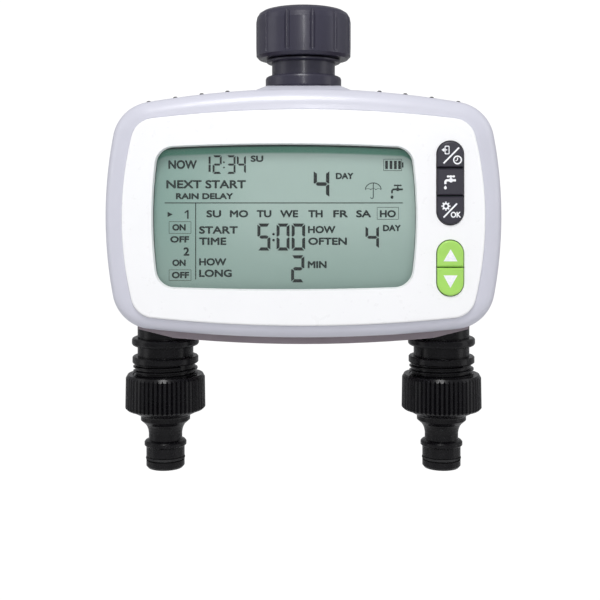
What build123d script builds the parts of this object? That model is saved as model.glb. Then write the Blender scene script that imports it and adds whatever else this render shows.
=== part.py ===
from build123d import *
import math
import os

# Drip irrigation timer, two outlets.  Millimetres, +Z up, front towards -Y.
# The origin is the seat of the hose washer on the inlet axis.

# ---- driving dimensions ---------------------------------------------------
FRONT_Y = -34.0            # face of the white fascia
SHELL_FRONT_Y = -32.5      # front of the light shell beside the fascia
FASCIA_SEAT_Y = -32.2      # floor of the shallow recess for the fascia
FRONT_WALL_Y = -30.1       # inside of the front wall
PARTING_Y = -15.0          # joint between the two shells
BACK_Y = 31.0              # back of the rear shell
WALL = 2.4
CASE = dict(cx=0.0, hw=76.4, top=-22.4, bottom=-118.4, side=5.4, over=7.2, under=4.6,
            r_top=16.0, r_bottom=16.0)
FASCIA = dict(cx=0.0, hw=69.2, top=-30.8, bottom=-113.3, side=5.4, over=4.2, under=3.7,
              r_top=9.0, r_bottom=9.0)
WINDOW = dict(cx=-7.25, hw=50.55, top=-43.83, bottom=-99.84, side=2.15, over=1.34, under=1.0,
              r_top=7.2, r_bottom=7.5)
BEZEL_Y = -27.0            # where the side walls end and the rounded bezel starts

OUTLET_X = 57.0            # outlets sit 114 mm apart
HOSE_PITCH = 1.814         # G3/4 thread, 14 per inch
HOSE_CORE_R = 12.1         # male thread
HOSE_CREST_R = 13.2
NUT_MINOR_R = 12.06        # female thread in the inlet nut
NUT_MAJOR_R = 13.3
NIPPLE_R = 7.85            # quick-coupling nipple

KEY_X = 55.7
KEY_PILLS = ((-43.1, -53.2, -63.8, -74.7), (-80.7, -90.9, -101.7))
KEY_HALF = 5.0
KEY_TRAVEL = 0.8

BOARD_FRONT_Y = -25.0
BOARD_BACK_Y = -23.4
CASE_SCREWS = ((56.0, -33.4), (26.0, -30.6), (24.0, -111.4))
BOARD_SCREWS = ((64.4, -41.0), (64.4, -101.5))

VALVE_Z = -98.0            # ball centre
BALL_R = 7.5
MODULE = 0.6
PINION_TEETH = 10
WHEEL_TEETH = 40
GEAR_CENTRES = 15.05       # pitch distance plus a little play
IDLER = (OUTLET_X - 13.04, VALVE_Z + 7.51)
MOTOR = (IDLER[0] - GEAR_CENTRES, IDLER[1])
GEARBOX_SCREWS = ((22.8, -78.8), (22.8, -99.5))

BATTERY_R = 7.25
BATTERY_X = (-22.8, -7.6, 7.6, 22.8)
BATTERY_Y = 19.9
HINGE_Y = 30.0             # battery door hinge
HINGE_Z = -40.0


# ---- small helpers --------------------------------------------------------
def disc(r, z0, z1, x=0.0, y=0.0):
    """Upright cylinder between two heights."""
    return Pos(x, y, (z0 + z1) / 2) * Cylinder(r, abs(z1 - z0))


def tube(r_out, r_in, z0, z1, x=0.0, y=0.0):
    return disc(r_out, z0, z1, x, y) - disc(r_in, z0 - 1, z1 + 1, x, y)


def rod_y(r, y0, y1, x, z):
    """Cylinder along Y."""
    return Pos(x, (y0 + y1) / 2, z) * Rot(90, 0, 0) * Cylinder(r, abs(y1 - y0))


def rod_x(r, x0, x1, y, z):
    return Pos((x0 + x1) / 2, y, z) * Rot(0, 90, 0) * Cylinder(r, abs(x1 - x0))


def block(x0, x1, y0, y1, z0, z1):
    return Pos((x0 + x1) / 2, (y0 + y1) / 2, (z0 + z1) / 2) * Box(x1 - x0, y1 - y0, z1 - z0)


def turned(points, x=0.0):
    """Solid of revolution about the upright axis from (radius, height) points."""
    profile = make_face(Polyline(*[(r, 0, z) for r, z in points], close=True))
    return Pos(x, 0, 0) * revolve(profile, Axis.Z)


def outline(y, spec, grow=0.0):
    """Flat face bounded by four shallow arcs with rounded corners, at depth y."""
    cx, hw = spec["cx"], spec["hw"] + grow
    top, bottom = spec["top"] + grow, spec["bottom"] - grow
    xc, zt, zb = hw - spec["side"], top - spec["over"], bottom + spec["under"]
    zm = (zt + zb) / 2
    a, b = (cx - xc, y, zt), (cx + xc, y, zt)
    c, d = (cx + xc, y, zb), (cx - xc, y, zb)
    edges = [ThreePointArc(a, (cx, y, top), b), ThreePointArc(b, (cx + hw, y, zm), c),
             ThreePointArc(c, (cx, y, bottom), d), ThreePointArc(d, (cx - hw, y, zm), a)]
    face = Face(Wire(edges))
    upper = [v for v in face.vertices() if v.Z > zm]
    face = face.fillet_2d(spec["r_top"] + grow, upper)
    lower = sorted(face.vertices(), key=lambda v: (v.Z, abs(v.X - cx)))
    lower = [v for v in lower if abs(v.Z - zb) < 1e-4 and abs(abs(v.X - cx) - xc) < 1e-4]
    return face.fillet_2d(spec["r_bottom"] + grow, lower)


def slab(y0, y1, spec, grow=0.0):
    return extrude(outline(y0, spec, grow), amount=y1 - y0, dir=(0, 1, 0))


def pill(y0, y1, x, z0, z1, half):
    """Upright stadium bar along Y with round ends."""
    middle = block(x - half, x + half, y0, y1, z0 + half, z1 - half)
    return middle + rod_y(half, y0, y1, x, z0 + half) + rod_y(half, y0, y1, x, z1 - half)


def plate(y0, y1, x0, x1, z0, z1, r):
    """Upright plate with rounded corners."""
    body = block(x0, x1, y0, y1, z0, z1)
    return fillet(body.edges().filter_by(Axis.Y), r)


def o_ring(major, minor, z, x=0.0):
    return Pos(x, 0, z) * Torus(major, minor)


def thread_rib(r_root, r_crest, z0, turns, half_root, half_crest, x=0.0):
    """Trapezoidal section carried round a helix."""
    helix = Helix(HOSE_PITCH, HOSE_PITCH * turns, r_root, center=(0, 0, z0))
    corners = [(r_root, 0, z0 - half_root), (r_crest, 0, z0 - half_crest),
               (r_crest, 0, z0 + half_crest), (r_root, 0, z0 + half_root)]
    return Pos(x, 0, 0) * sweep(make_face(Polyline(*corners, close=True)), path=helix, is_frenet=True)


def gear(teeth, y0, y1, x, z, phase, addendum=1.0, thinning=0.12):
    """Involute spur gear on an axis along Y; one tooth points along phase (radians)."""
    r_pitch = MODULE * teeth / 2
    r_base = r_pitch * math.cos(math.radians(20))
    r_tip, r_root = r_pitch + addendum * MODULE, r_pitch - 1.25 * MODULE
    half = math.pi / (2 * teeth) - thinning / (2 * r_pitch)
    start = max(r_base, r_root)
    flank = []
    for i in range(5):
        r = start + (r_tip - start) * i / 4
        a = math.acos(min(1.0, r_base / r))
        flank.append((r, half + math.tan(math.radians(20)) - math.radians(20) - math.tan(a) + a))
    points = []
    for k in range(teeth):
        mid = phase + 2 * math.pi * k / teeth
        side = [(r_root, -flank[0][1])] + [(r, -t) for r, t in flank]
        side += [(r, t) for r, t in reversed(flank)] + [(r_root, flank[0][1])]
        if r_base <= r_root:
            side = side[1:-1]
        points += [(x + r * math.cos(mid + t), y0, z + r * math.sin(mid + t)) for r, t in side]
    return extrude(make_face(Polyline(*points, close=True)), amount=y1 - y0, dir=(0, 1, 0))


def bearing_from(a, b):
    return math.atan2(b[1] - a[1], b[0] - a[0])


def left(shape):
    """Mirror image on the other side of the timer."""
    return mirror(shape, about=Plane.YZ)


def both(shape):
    return Compound(children=[*left(shape).solids(), *shape.solids()])


def many(shapes):
    return Compound(children=[s for shape in shapes for s in shape.solids()])


# ---- the two shells -------------------------------------------------------
def hump_section(y, drop):
    """Flat-topped profile with flared sides, lowered by drop, at depth y."""
    top = -20.35 - drop
    foot = [(22.5, y, top - 3.4), (22.5, y, top - 6.5), (-22.5, y, top - 6.5), (-22.5, y, top - 3.4)]
    edges = [Line((-14.4, y, top), (14.4, y, top)),
             ThreePointArc((14.4, y, top), (17.4, y, top - 1.15), foot[0]),
             Line(foot[0], foot[1]), Line(foot[1], foot[2]), Line(foot[2], foot[3]),
             ThreePointArc(foot[3], (-17.4, y, top - 1.15), (-14.4, y, top))]
    return Face(Wire(edges))


def inlet_hump(front):
    """Swelling of one shell under the inlet collar; it sinks into the case away from the axis."""
    if front:
        lead = [hump_section(-27.0, 3.4), hump_section(-23.5, 1.3), hump_section(-19.5, 0.0)]
        return loft(lead) + extrude(hump_section(-19.5, 0.0), amount=4.5, dir=(0, 1, 0))
    tail = [hump_section(14.0, 0.3), hump_section(18.0, 1.6), hump_section(21.5, 3.9)]
    return extrude(hump_section(PARTING_Y, 0.3), amount=29.0, dir=(0, 1, 0)) + loft(tail)


def seal_groove(y0, y1, spread=0.0):
    return slab(y0, y1, CASE, -0.6 + spread) - slab(y0 - 1, y1 + 1, CASE, -1.8 - spread)


def key_openings(y0, y1, gap):
    cuts = [pill(y0, y1, KEY_X, p[-1] - gap, p[0] + gap, KEY_HALF + gap) for p in KEY_PILLS]
    return cuts[0] + cuts[1]


def bezel():
    """Quarter-round ring that closes in from the case outline to the fascia outline."""
    sections = []
    for degrees in (0, 18, 36, 54, 72, 90):
        a = math.radians(degrees)
        t = 1 - math.cos(a)
        spec = {k: CASE[k] * (1 - t) + FASCIA[k] * t for k in CASE}
        y = BEZEL_Y + (SHELL_FRONT_Y - BEZEL_Y) * math.sin(a)
        sections.append(outline(y, spec, 0.45 * t))
    return loft(sections)


def front_shell():
    body = slab(BEZEL_Y, PARTING_Y, CASE) + bezel()
    body = body + inlet_hump(True)
    body -= slab(FRONT_WALL_Y, PARTING_Y + 1, CASE, -WALL)
    body -= slab(FRONT_Y - 1, FASCIA_SEAT_Y, FASCIA, 0.15)
    body -= slab(FRONT_Y - 1, FRONT_WALL_Y + 1, WINDOW, 0.4)
    body -= slab(-31.6, FRONT_WALL_Y + 1, WINDOW, 2.6)
    body -= key_openings(FRONT_Y - 1, FRONT_WALL_Y + 1, 0.35)
    for x, z in CASE_SCREWS:
        for s in (-1, 1):
            post = rod_y(4.0, FRONT_WALL_Y - 0.5, PARTING_Y, s * x, z)
            body += post
            body -= rod_y(1.45, -26.0, PARTING_Y + 1, s * x, z)
    for x, z in BOARD_SCREWS:
        for s in (-1, 1):
            body += rod_y(2.2, FRONT_WALL_Y - 0.5, BOARD_FRONT_Y, s * x, z)
            body -= rod_y(1.05, -29.6, BOARD_FRONT_Y + 1, s * x, z)
    return body - seal_groove(PARTING_Y - 0.6, PARTING_Y + 1)


def front_fascia():
    body = slab(FRONT_Y, FASCIA_SEAT_Y, FASCIA)
    body = fillet(body.edges().group_by(Axis.Y)[0], 0.9)
    body -= key_openings(FRONT_Y - 1, FASCIA_SEAT_Y + 1, 0.35)
    opening = loft([outline(FRONT_Y - 0.01, WINDOW), outline(FASCIA_SEAT_Y + 0.01, WINDOW, -0.45)])
    return body - opening


def display_window():
    return slab(-31.6, FRONT_WALL_Y, WINDOW, 2.4)


def outlet_trough():
    """Bulge under the rear shell that carries the two outlets; its underside follows the case."""
    y = -13.6
    rim = [ThreePointArc((-52, y, -120.5), (0, y, -123.0), (52, y, -120.5)),
           Polyline((52, y, -120.5), (66, y, -117.0), (66, y, -104), (-66, y, -104),
                    (-66, y, -117.0), (-52, y, -120.5))]
    bar = extrude(Face(Wire([*rim[0].edges(), *rim[1].edges()])), amount=27.2, dir=(0, 1, 0))
    for s in (-1, 1):
        bar += disc(12.2, -114.05, -104, s * OUTLET_X)
    return bar


def trough_hollow():
    space = block(-45, 45, -11.4, 11.4, -119.0, -106)
    for s in (-1, 1):
        space += disc(12.3, -104.4, -98, s * OUTLET_X) + disc(10.7, -114.2, -104, s * OUTLET_X)
        space += disc(11.6, -130, -114.05, s * OUTLET_X)
    return space


def top_ribs():
    """Grip ribs across the top of the rear shell."""
    ribs = []
    for x in (30.3, 40.6, 51.1, 61.7):
        z = CASE["top"] - CASE["over"] * (x / 71.0) ** 2
        rib = block(x - 0.9, x + 0.9, PARTING_Y + 0.2, 19.0, z - 3.0, z + 2.0)
        rib = fillet(rib.edges().group_by(Axis.Z)[-1], 0.75)
        ribs.append(rib)
    return ribs


def rear_shell():
    body = slab(PARTING_Y, BACK_Y, CASE)
    body = fillet(body.edges().group_by(Axis.Y)[-1], 8.0)
    body += inlet_hump(False)
    for rib in top_ribs():
        body = body + rib + left(rib)
    body += outlet_trough()
    hollow = slab(PARTING_Y - 1, BACK_Y - WALL, CASE, -WALL)
    hollow = fillet(hollow.edges().group_by(Axis.Y)[-1], 5.6)
    body = body - hollow - trough_hollow()
    body += block(-33, 33, 10.9, 29.5, -101.6, -40.4)
    body += block(-37.4, 37.4, 25.5, 29.5, -106.0, -35.4)
    body -= block(-35, 35, 27.9, 33, -103.4, -37.8)
    body -= block(-31.4, 31.4, 12.4, 33, -100.0, -42.0)
    body -= block(-6.5, 6.5, 28.4, 33, -108.5, -100)
    body -= disc(9.9, -40, 0)
    for s in (-1, 1):
        for x, z in CASE_SCREWS:
            body += rod_y(4.0, PARTING_Y, BACK_Y - WALL + 0.3, s * x, z)
            body -= rod_y(1.7, PARTING_Y - 1, 0, s * x, z)
            body -= rod_y(3.0, -8.0, BACK_Y + 1, s * x, z)
        for x, z in GEARBOX_SCREWS:
            body += rod_y(2.2, -13.1, 11.2, s * x, z)
            body -= rod_y(0.95, -14, -3.0, s * x, z)
        body += hinge_lug(s)
    return body - seal_groove(PARTING_Y - 1, PARTING_Y + 0.6)


def hinge_lug(s):
    """Ear of the rear shell that carries one end of the door hinge pin."""
    lug = rod_x(1.9, s * 30.0, s * 34.9, HINGE_Y, HINGE_Z)
    lug += block(min(s * 30, s * 34.9), max(s * 30, s * 34.9), 27.5, 30.0, -41.9, -37.7)
    return lug - rod_x(1.02, s * 29, s * 36, HINGE_Y, HINGE_Z)


def case_gasket():
    return seal_groove(PARTING_Y - 0.55, PARTING_Y + 0.55, -0.05)


def screw(x, z, y_head, y_tip, r_shank, r_head, head):
    """Pan-head screw driven along Y with a cross recess; the head faces y_head."""
    sign = 1 if y_head > y_tip else -1
    seat = y_head - sign * head
    body = rod_y(r_head, seat, y_head, x, z)
    body = fillet(body.edges().group_by(Axis.Y)[-1 if sign > 0 else 0], head * 0.4)
    slot = block(x - r_head * 0.6, x + r_head * 0.6, y_head - 0.45 * head, y_head + 0.45 * head,
                 z - 0.22 * r_head, z + 0.22 * r_head)
    cross = block(x - r_head * 0.22, x + r_head * 0.22, y_head - 0.45 * head,
                  y_head + 0.45 * head, z - 0.6 * r_head, z + 0.6 * r_head)
    return body - slot - cross + rod_y(r_shank, y_tip, seat, x, z)


def case_screws():
    return many([screw(s * x, z, -6.0, -24.0, 1.4, 2.7, 2.0) for x, z in CASE_SCREWS for s in (-1, 1)])


# ---- display and circuit board --------------------------------------------
LCD = (-59.8, 45.3, -101.8, -41.8)


def lcd_glass():
    x0, x1, z0, z1 = LCD
    back = block(x0, x1, -28.0, -26.8, z0, z1)
    return back + block(x0, x1, -29.4, -28.0, z0 + 2.2, z1)


def lcd_holder():
    x0, x1, z0, z1 = LCD
    body = plate(FRONT_WALL_Y, BOARD_FRONT_Y, x0 - 1.6, x1 + 1.6, z0 - 1.6, z1 + 1.6, 2.0)
    body -= block(x0 - 0.1, x1 + 0.1, -29.5, -26.7, z0 - 0.1, z1 + 0.1)
    body -= block(x0 + 1.2, x1 - 1.2, -31, -29, z0 + 1.2, z1 - 1.2)
    return body - block(x0 + 4, x1 - 4, -28, -24, z0 - 0.1, z1 + 0.1)


def lcd_contact_strips():
    x0, x1, z0, z1 = LCD
    strips = [block(x0 + 6, x1 - 6, -26.8, BOARD_FRONT_Y, z, z + 2.0) for z in (z0 + 0.1, z1 - 2.1)]
    return many(strips)


def main_circuit_board():
    body = plate(BOARD_FRONT_Y, BOARD_BACK_Y, -68.5, 68.5, -106.0, -36.5, 8.0)
    for x, z in BOARD_SCREWS:
        for s in (-1, 1):
            body -= rod_y(1.3, -26, -22, s * x, z)
    for x, z in CASE_SCREWS[:1]:
        for s in (-1, 1):
            body -= rod_y(4.4, -26, -22, s * x, z)
    return body


def board_screws():
    return many([screw(s * x, z, BOARD_BACK_Y + 1.3, -29.2, 1.0, 2.0, 1.3)
                 for x, z in BOARD_SCREWS for s in (-1, 1)])


def board_components():
    """Controller, memory, crystal, capacitors, regulator, connectors and driver parts."""
    y = BOARD_BACK_Y
    parts = [block(-7, 7, y, y + 1.6, -79, -69), block(-14.5, -10.5, y, y + 1.5, -77, -72),
             block(10, 15, y, y + 1.5, -78, -73), block(-4, 4, y, y + 3.4, -66, -62.6),
             block(9, 15.5, y, y + 2.3, -66.5, -62), block(-15.5, -10.5, y, y + 5.6, -92, -84.6),
             block(10.5, 15.5, y, y + 5.6, -92, -84.6), block(-4.9, 4.9, y, y + 5.6, -103, -98)]
    parts += [rod_y(3.15, y, y + 7.0, -13, -100), rod_y(2.5, y, y + 5.0, 12, -99.5)]
    for i in range(6):
        parts.append(block(-6.5 + 2.4 * i, -5.3 + 2.4 * i, y, y + 0.6, -83.4, -81.6))
        parts.append(block(-6.5 + 2.4 * i, -5.3 + 2.4 * i, y, y + 0.6, -88.4, -86.6))
    return many(parts)


def key_centres():
    return [(p[i] + p[i + 1]) / 2 for p in KEY_PILLS for i in range(len(p) - 1)]


def key_switches():
    parts = []
    for z in key_centres():
        base = block(KEY_X - 3, KEY_X + 3, -26.5, BOARD_FRONT_Y, z - 3, z + 3)
        parts.append(base + rod_y(1.7, -27.0, -26.4, KEY_X, z))
    return many(parts)


def key_cap(pill_index, row):
    """One rocker-free push cap cut from its pill, with a retaining flange behind the wall."""
    rows = KEY_PILLS[pill_index]
    body = pill(-35.0, -28.9, KEY_X, rows[-1], rows[0], KEY_HALF)
    body = fillet(body.edges().group_by(Axis.Y)[0], 0.7)
    flange = pill(-29.7, -28.9, KEY_X, rows[-1] - 0.9, rows[0] + 0.9, KEY_HALF + 0.9)
    first, last = row == 0, row == len(rows) - 2
    z1 = rows[row] + (2.0 if first else -0.2)
    z0 = rows[row + 1] - (2.0 if last else -0.2)
    band = block(KEY_X - 8, KEY_X + 8, -36, -28, z0, z1)
    band = chamfer(band.edges().group_by(Axis.Y)[0].filter_by(Axis.X), 1.55)
    zc = (rows[row] + rows[row + 1]) / 2
    return ((body + flange) & band) + rod_y(1.5, -29.0, -28.1, KEY_X, zc)


# ---- inlet ----------------------------------------------------------------
def inlet_nut():
    """Swivel nut with rounded grip panels and a G3/4 female thread."""
    body = turned([(10.9, -7.5), (18.3, -7.5), (19.4, -6.3), (19.5, -3.0), (19.5, 7.6),
                   (19.1, 9.6), (18.2, 11.1), (16.6, 12.1), (15.2, 12.5), (13.2, 12.5),
                   (12.06, 11.3), (12.06, 0.3), (13.5, 0.3), (13.5, -5.5), (10.9, -5.5)])
    for i in range(12):
        a = math.radians(10.5 + 30 * i)
        x, y = 19.75 * math.cos(a), 19.75 * math.sin(a)
        body -= disc(1.15, -4.8, 14, x, y) + Pos(x, y, -4.8) * Sphere(1.15)
    return body - thread_rib(NUT_MINOR_R - 0.15, NUT_MAJOR_R, 1.2, 5.1, 0.45, 0.2)


def inlet_spigot():
    """Neck, collars and the tube that plugs into the manifold."""
    body = turned([(8.0, -3.0), (10.4, -3.0), (10.4, -3.8), (9.3, -3.8), (9.3, -5.05), (10.4, -5.05),
                   (10.4, -7.9), (14.9, -7.9), (15.2, -8.2), (15.2, -8.8), (14.8, -9.1),
                   (13.0, -9.1), (13.0, -14.7), (14.6, -14.7), (15.3, -15.1), (15.6, -15.8),
                   (15.6, -19.0), (15.3, -19.8), (14.8, -20.2), (9.5, -20.2), (9.5, -29.0),
                   (8.15, -29.0), (8.15, -31.0), (9.5, -31.0), (9.5, -35.5), (9.1, -36.0),
                   (8.0, -36.0)])
    return body


def nut_retaining_clip():
    """Open clip in the spigot groove that keeps the swivel nut on."""
    body = tube(12.9, 9.35, -4.95, -3.9)
    return body - block(-3.2, 3.2, 5, 14, -6, -3)


def inlet_washer():
    return tube(12.3, 9.6, -2.0, 0.0)


def inlet_filter():
    """Cup strainer hung under the washer."""
    rim = tube(11.4, 7.0, -2.95, -2.05) - disc(7.0, -4, 0)
    cup = turned([(7.5, -2.5), (7.5, -14.0), (3.0, -17.0), (0, -17.0), (0, -16.0), (2.7, -16.0),
                  (6.5, -13.5), (6.5, -2.5)])
    return rim + cup


# ---- manifold and valves --------------------------------------------------
LEG_R = 12.0


def valve_manifold():
    """Moulded water way: inlet socket, cross tube and two legs with ball chambers."""
    body = disc(12.4, -39.8, -25.1) + disc(10.4, -50, -39)
    body += rod_x(10.0, -OUTLET_X, OUTLET_X, 0, -50)
    for s in (-1, 1):
        body += disc(LEG_R, -104.0, -50, s * OUTLET_X) + Pos(s * OUTLET_X, 0, -50) * Sphere(LEG_R)
        body += disc(10.4, -113.6, -103.0, s * OUTLET_X)
        body += rod_y(5.4, -13.0, -9.0, s * OUTLET_X, VALVE_Z)
    body -= disc(9.6, -36.2, -20) + disc(6.5, -50, -30)
    body -= rod_x(6.5, -OUTLET_X, OUTLET_X, 0, -50)
    for s in (-1, 1):
        x = s * OUTLET_X
        body -= disc(6.5, -90, -50, x) + Pos(x, 0, -50) * Sphere(6.5)
        body -= disc(8.65, -120, -87.6, x)
        body -= rod_y(2.85, -14, -8, x, VALVE_Z) + rod_y(4.3, -14, -10.4, x, VALVE_Z)
    return body


def ball_seats():
    """Upper and lower seat ring of each ball."""
    ball = Pos(OUTLET_X, 0, VALVE_Z) * Sphere(BALL_R + 0.3)
    upper = tube(8.5, 4.8, -92.6, -87.7, OUTLET_X) - ball
    lower = tube(8.5, 4.8, -108.3, -103.4, OUTLET_X) - ball
    return both(upper + lower)


def stem_seals():
    ring = Pos(OUTLET_X, -11.4, VALVE_Z) * Rot(90, 0, 0) * Torus(3.4, 0.85)
    return both(ring)


def valve_ball():
    """Ball with its bore across the water way (closed) and a drive slot."""
    body = Pos(OUTLET_X, 0, VALVE_Z) * Sphere(BALL_R)
    body -= rod_x(4.5, OUTLET_X - 9, OUTLET_X + 9, 0, VALVE_Z)
    return body - block(OUTLET_X - 2.6, OUTLET_X + 2.6, -9, -5.2, VALVE_Z - 1.1, VALVE_Z + 1.1)


def valve_gear():
    """Stem with a drive blade, moulded in one with the last wheel of the train."""
    v = (OUTLET_X, VALVE_Z)
    body = rod_y(2.5, -14.9, -7.7, *v)
    body += block(v[0] - 2.3, v[0] + 2.3, -8.0, -5.4, v[1] - 0.95, v[1] + 0.95)
    wheel = gear(WHEEL_TEETH, -16.9, -14.8, v[0], v[1], bearing_from(v, IDLER), 0.8)
    body += wheel
    for i in range(6):
        a = math.radians(30 + 60 * i)
        body -= rod_y(2.2, -18, -14, v[0] + 7.0 * math.cos(a), v[1] + 7.0 * math.sin(a))
    return body


def idler_gear():
    """Compound wheel: the pinion drives the valve, the wheel takes the motor."""
    v = (OUTLET_X, VALVE_Z)
    down = bearing_from(IDLER, v) + math.pi / PINION_TEETH
    body = gear(PINION_TEETH, -17.5, -14.9, *IDLER, down)
    body += gear(WHEEL_TEETH, -19.6, -17.4, *IDLER, bearing_from(IDLER, MOTOR), 0.8)
    for i in range(5):
        a = math.radians(72 * i)
        body -= rod_y(2.0, -20, -17.4, IDLER[0] + 7.6 * math.cos(a), IDLER[1] + 7.6 * math.sin(a))
    return body - rod_y(1.05, -22, -13, *IDLER)


def motor_pinion():
    up = bearing_from(MOTOR, IDLER) + math.pi / PINION_TEETH
    return gear(PINION_TEETH, -19.8, -17.2, *MOTOR, up) + rod_y(1.0, -19.9, -8.0, *MOTOR)


def gearbox_frame():
    """Two plates joined by posts, carrying the idler axle and the motor."""
    back = plate(-14.4, -13.1, 19.6, 52.0, -106.6, -74.4, 2.0)
    front = plate(-21.6, -20.3, 19.6, 52.0, -106.6, -74.4, 2.0)
    body = back + front
    posts = [*GEARBOX_SCREWS, (50.2, -76.2), (37.0, -105.0)]
    for x, z in posts:
        body += rod_y(1.55, -20.4, -14.3, x, z)
    for x, z in GEARBOX_SCREWS:
        body -= rod_y(0.95, -23, -12, x, z)
    body -= rod_y(3.6, -15, -12, *MOTOR)
    body -= rod_y(2.85, -15, -12, OUTLET_X, VALVE_Z)
    return body - rod_y(1.0, -22, -12, *IDLER)


def gear_axles():
    return both(rod_y(0.98, -21.6, -13.2, *IDLER))


def gearbox_screws():
    return both(many([screw(x, z, -22.8, -4.0, 0.9, 1.8, 1.2) for x, z in GEARBOX_SCREWS]))


def motor():
    """Small flat-sided direct-current motor."""
    x, z = MOTOR
    body = rod_y(7.75, -12.9, 7.0, x, z) & block(x - 9, x + 9, -14, 8, z - 6.0, z + 6.0)
    body = fillet(body.edges().group_by(Axis.Y)[0], 0.8)
    body += rod_y(3.0, -13.9, -12.8, x, z) + rod_y(2.6, 6.9, 8.4, x, z)
    body -= rod_y(1.05, -15, -7.0, x, z)
    for s in (-1, 1):
        body += block(x + s * 4.6 - 0.2, x + s * 4.6 + 0.2, 6.9, 9.6, z - 1.0, z + 1.0)
    return body


# ---- outlets --------------------------------------------------------------
def outlet_spigot(x):
    """Neck of the outlet with two collars; its upper end plugs into the manifold leg."""
    return turned([(7.0, -108.4), (8.5, -108.4), (8.5, -110.5), (7.35, -110.5), (7.35, -112.5),
                   (8.5, -112.5), (8.5, -114.2), (11.43, -114.2), (11.43, -121.9), (13.0, -121.9),
                   (13.5, -122.2), (13.75, -122.8), (13.75, -124.3), (13.4, -124.9),
                   (12.9, -125.2), (11.43, -125.2), (11.43, -129.5), (13.1, -129.5),
                   (13.5, -129.9), (13.5, -132.0), (13.1, -132.4), (9.6, -132.4), (9.6, -135.4),
                   (7.0, -135.4)], x)


def outlet_thread(x):
    """G3/4 male thread: a sleeve bonded onto the end of the neck."""
    body = turned([(9.65, -132.45), (HOSE_CORE_R, -132.45), (HOSE_CORE_R, -146.4), (11.5, -147.0),
                   (7.0, -147.0), (7.0, -135.45), (9.65, -135.45)], x)
    return body + thread_rib(HOSE_CORE_R - 0.1, HOSE_CREST_R, -145.6, 6.85, 0.62, 0.22, x)


def outlet_seals():
    return both(o_ring(7.98, 0.62, -111.5, OUTLET_X))


def knurled_band(r, depth, count, z0, z1, x):
    """Fine upright knurl as a star-shaped bar."""
    points = []
    for i in range(count):
        for step, radius in ((0.0, r - depth), (0.3, r), (0.7, r)):
            a = 2 * math.pi * (i + step) / count
            points.append((x + radius * math.cos(a), radius * math.sin(a), z0))
    return extrude(make_face(Polyline(*points, close=True)), amount=z1 - z0, dir=(0, 0, 1))


def outlet_adapter(x):
    """Knurled adapter with a quick-coupling nipple."""
    grip = knurled_band(16.4, 0.75, 54, -151.4, -137.0, x)
    grip &= turned([(0, -151.4), (15.6, -151.4), (16.4, -150.6), (16.2, -138.4), (15.4, -137.0),
                    (0, -137.0)], x)
    body = turned([(0, -151.3), (15.2, -151.3), (10.4, -153.8), (10.1, -154.2), (10.1, -155.8),
                   (8.3, -157.4), (7.6, -158.4), (7.1, -159.7), (6.85, -161.2), (6.85, -163.8),
                   (8.1, -164.3), (8.6, -164.9), (8.6, -166.1), (NIPPLE_R, -166.8), (NIPPLE_R, -170.6), (6.9, -170.6),
                   (6.9, -172.3), (NIPPLE_R, -172.3), (NIPPLE_R, -174.6), (7.1, -175.5),
                   (0, -175.5)], x)
    body = grip + body
    body -= disc(12.35, -149.9, -136, x)
    body -= turned([(0, -138.0), (12.35, -138.0), (13.4, -136.9), (0, -136.9)], x)
    body -= disc(5.2, -180, -149, x)
    return body - thread_rib(12.2, 13.45, -145.6 - HOSE_PITCH, 7.4, 0.85, 0.40, x)


def nipple_seal(x):
    return o_ring(7.50, 0.54, -171.45, x)


def adapter_washer(x):
    return tube(11.6, 6.6, -149.6, -147.3, x)


# ---- battery compartment --------------------------------------------------
def batteries():
    """Four AA cells, alternately up and down."""
    cells = []
    for i, x in enumerate(BATTERY_X):
        up = 1 if i % 2 == 0 else -1
        mid = -71.0
        cell = disc(BATTERY_R, mid - 24.6, mid + 24.6, x, BATTERY_Y)
        cell = fillet(cell.edges(), 0.6)
        tip = disc(2.75, mid + up * 24.5, mid + up * 25.9, x, BATTERY_Y)
        cells.append(cell + tip)
    return many(cells)


def battery_plates():
    strips = []
    for x in BATTERY_X:
        for z0 in (-99.9, -42.5):
            strips.append(block(x - 5.2, x + 5.2, BATTERY_Y - 5, BATTERY_Y + 5, z0, z0 + 0.4))
    return many(strips)


def battery_springs():
    """Coil at the flat end of every cell."""
    coils = []
    for i, x in enumerate(BATTERY_X):
        z0 = -99.2 if i % 2 == 0 else -46.1
        helix = Helix(0.95, 2.85, 3.0, center=(x, BATTERY_Y, z0))
        wire = Plane(origin=helix @ 0, z_dir=helix % 0) * Circle(0.28)
        coils.append(sweep(wire, path=helix, is_frenet=True))
    return many(coils)


def battery_door():
    """Rear door on a hinge pin along its top edge."""
    body = plate(29.0, 31.0, -34.6, 34.6, -103.0, -41.2, 1.5)
    body -= block(-35, -29.6, 28, 32, -43.4, -36) + block(29.6, 35, 28, 32, -43.4, -36)
    body += rod_x(1.9, -29.6, 29.6, HINGE_Y, HINGE_Z)
    body -= rod_x(1.05, -31, 31, HINGE_Y, HINGE_Z)
    body += plate(29.0, 31.0, -6.1, 6.1, -108.1, -100.0, 1.5)
    for i in range(3):
        z = -104.6 + 1.9 * i
        body += block(-4.6, 4.6, 30.9, 31.6, z - 0.45, z + 0.45)
    rim = block(-30.9, 30.9, 26.9, 29.1, -99.5, -44.5) - block(-29.5, 29.5, 26, 29.0, -98.1, -45.9)
    return body + (rim & block(-40, 40, 27.6, 30, -110, -40))


def battery_door_seal():
    outer = plate(28.25, 29.0, -33.6, 33.6, -102.2, -43.6, 1.5)
    return outer - block(-31.2, 31.2, 27, 30, -99.8, -44.2)


def door_hinge_pin():
    return rod_x(1.0, -34.8, 34.8, HINGE_Y, HINGE_Z)


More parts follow.
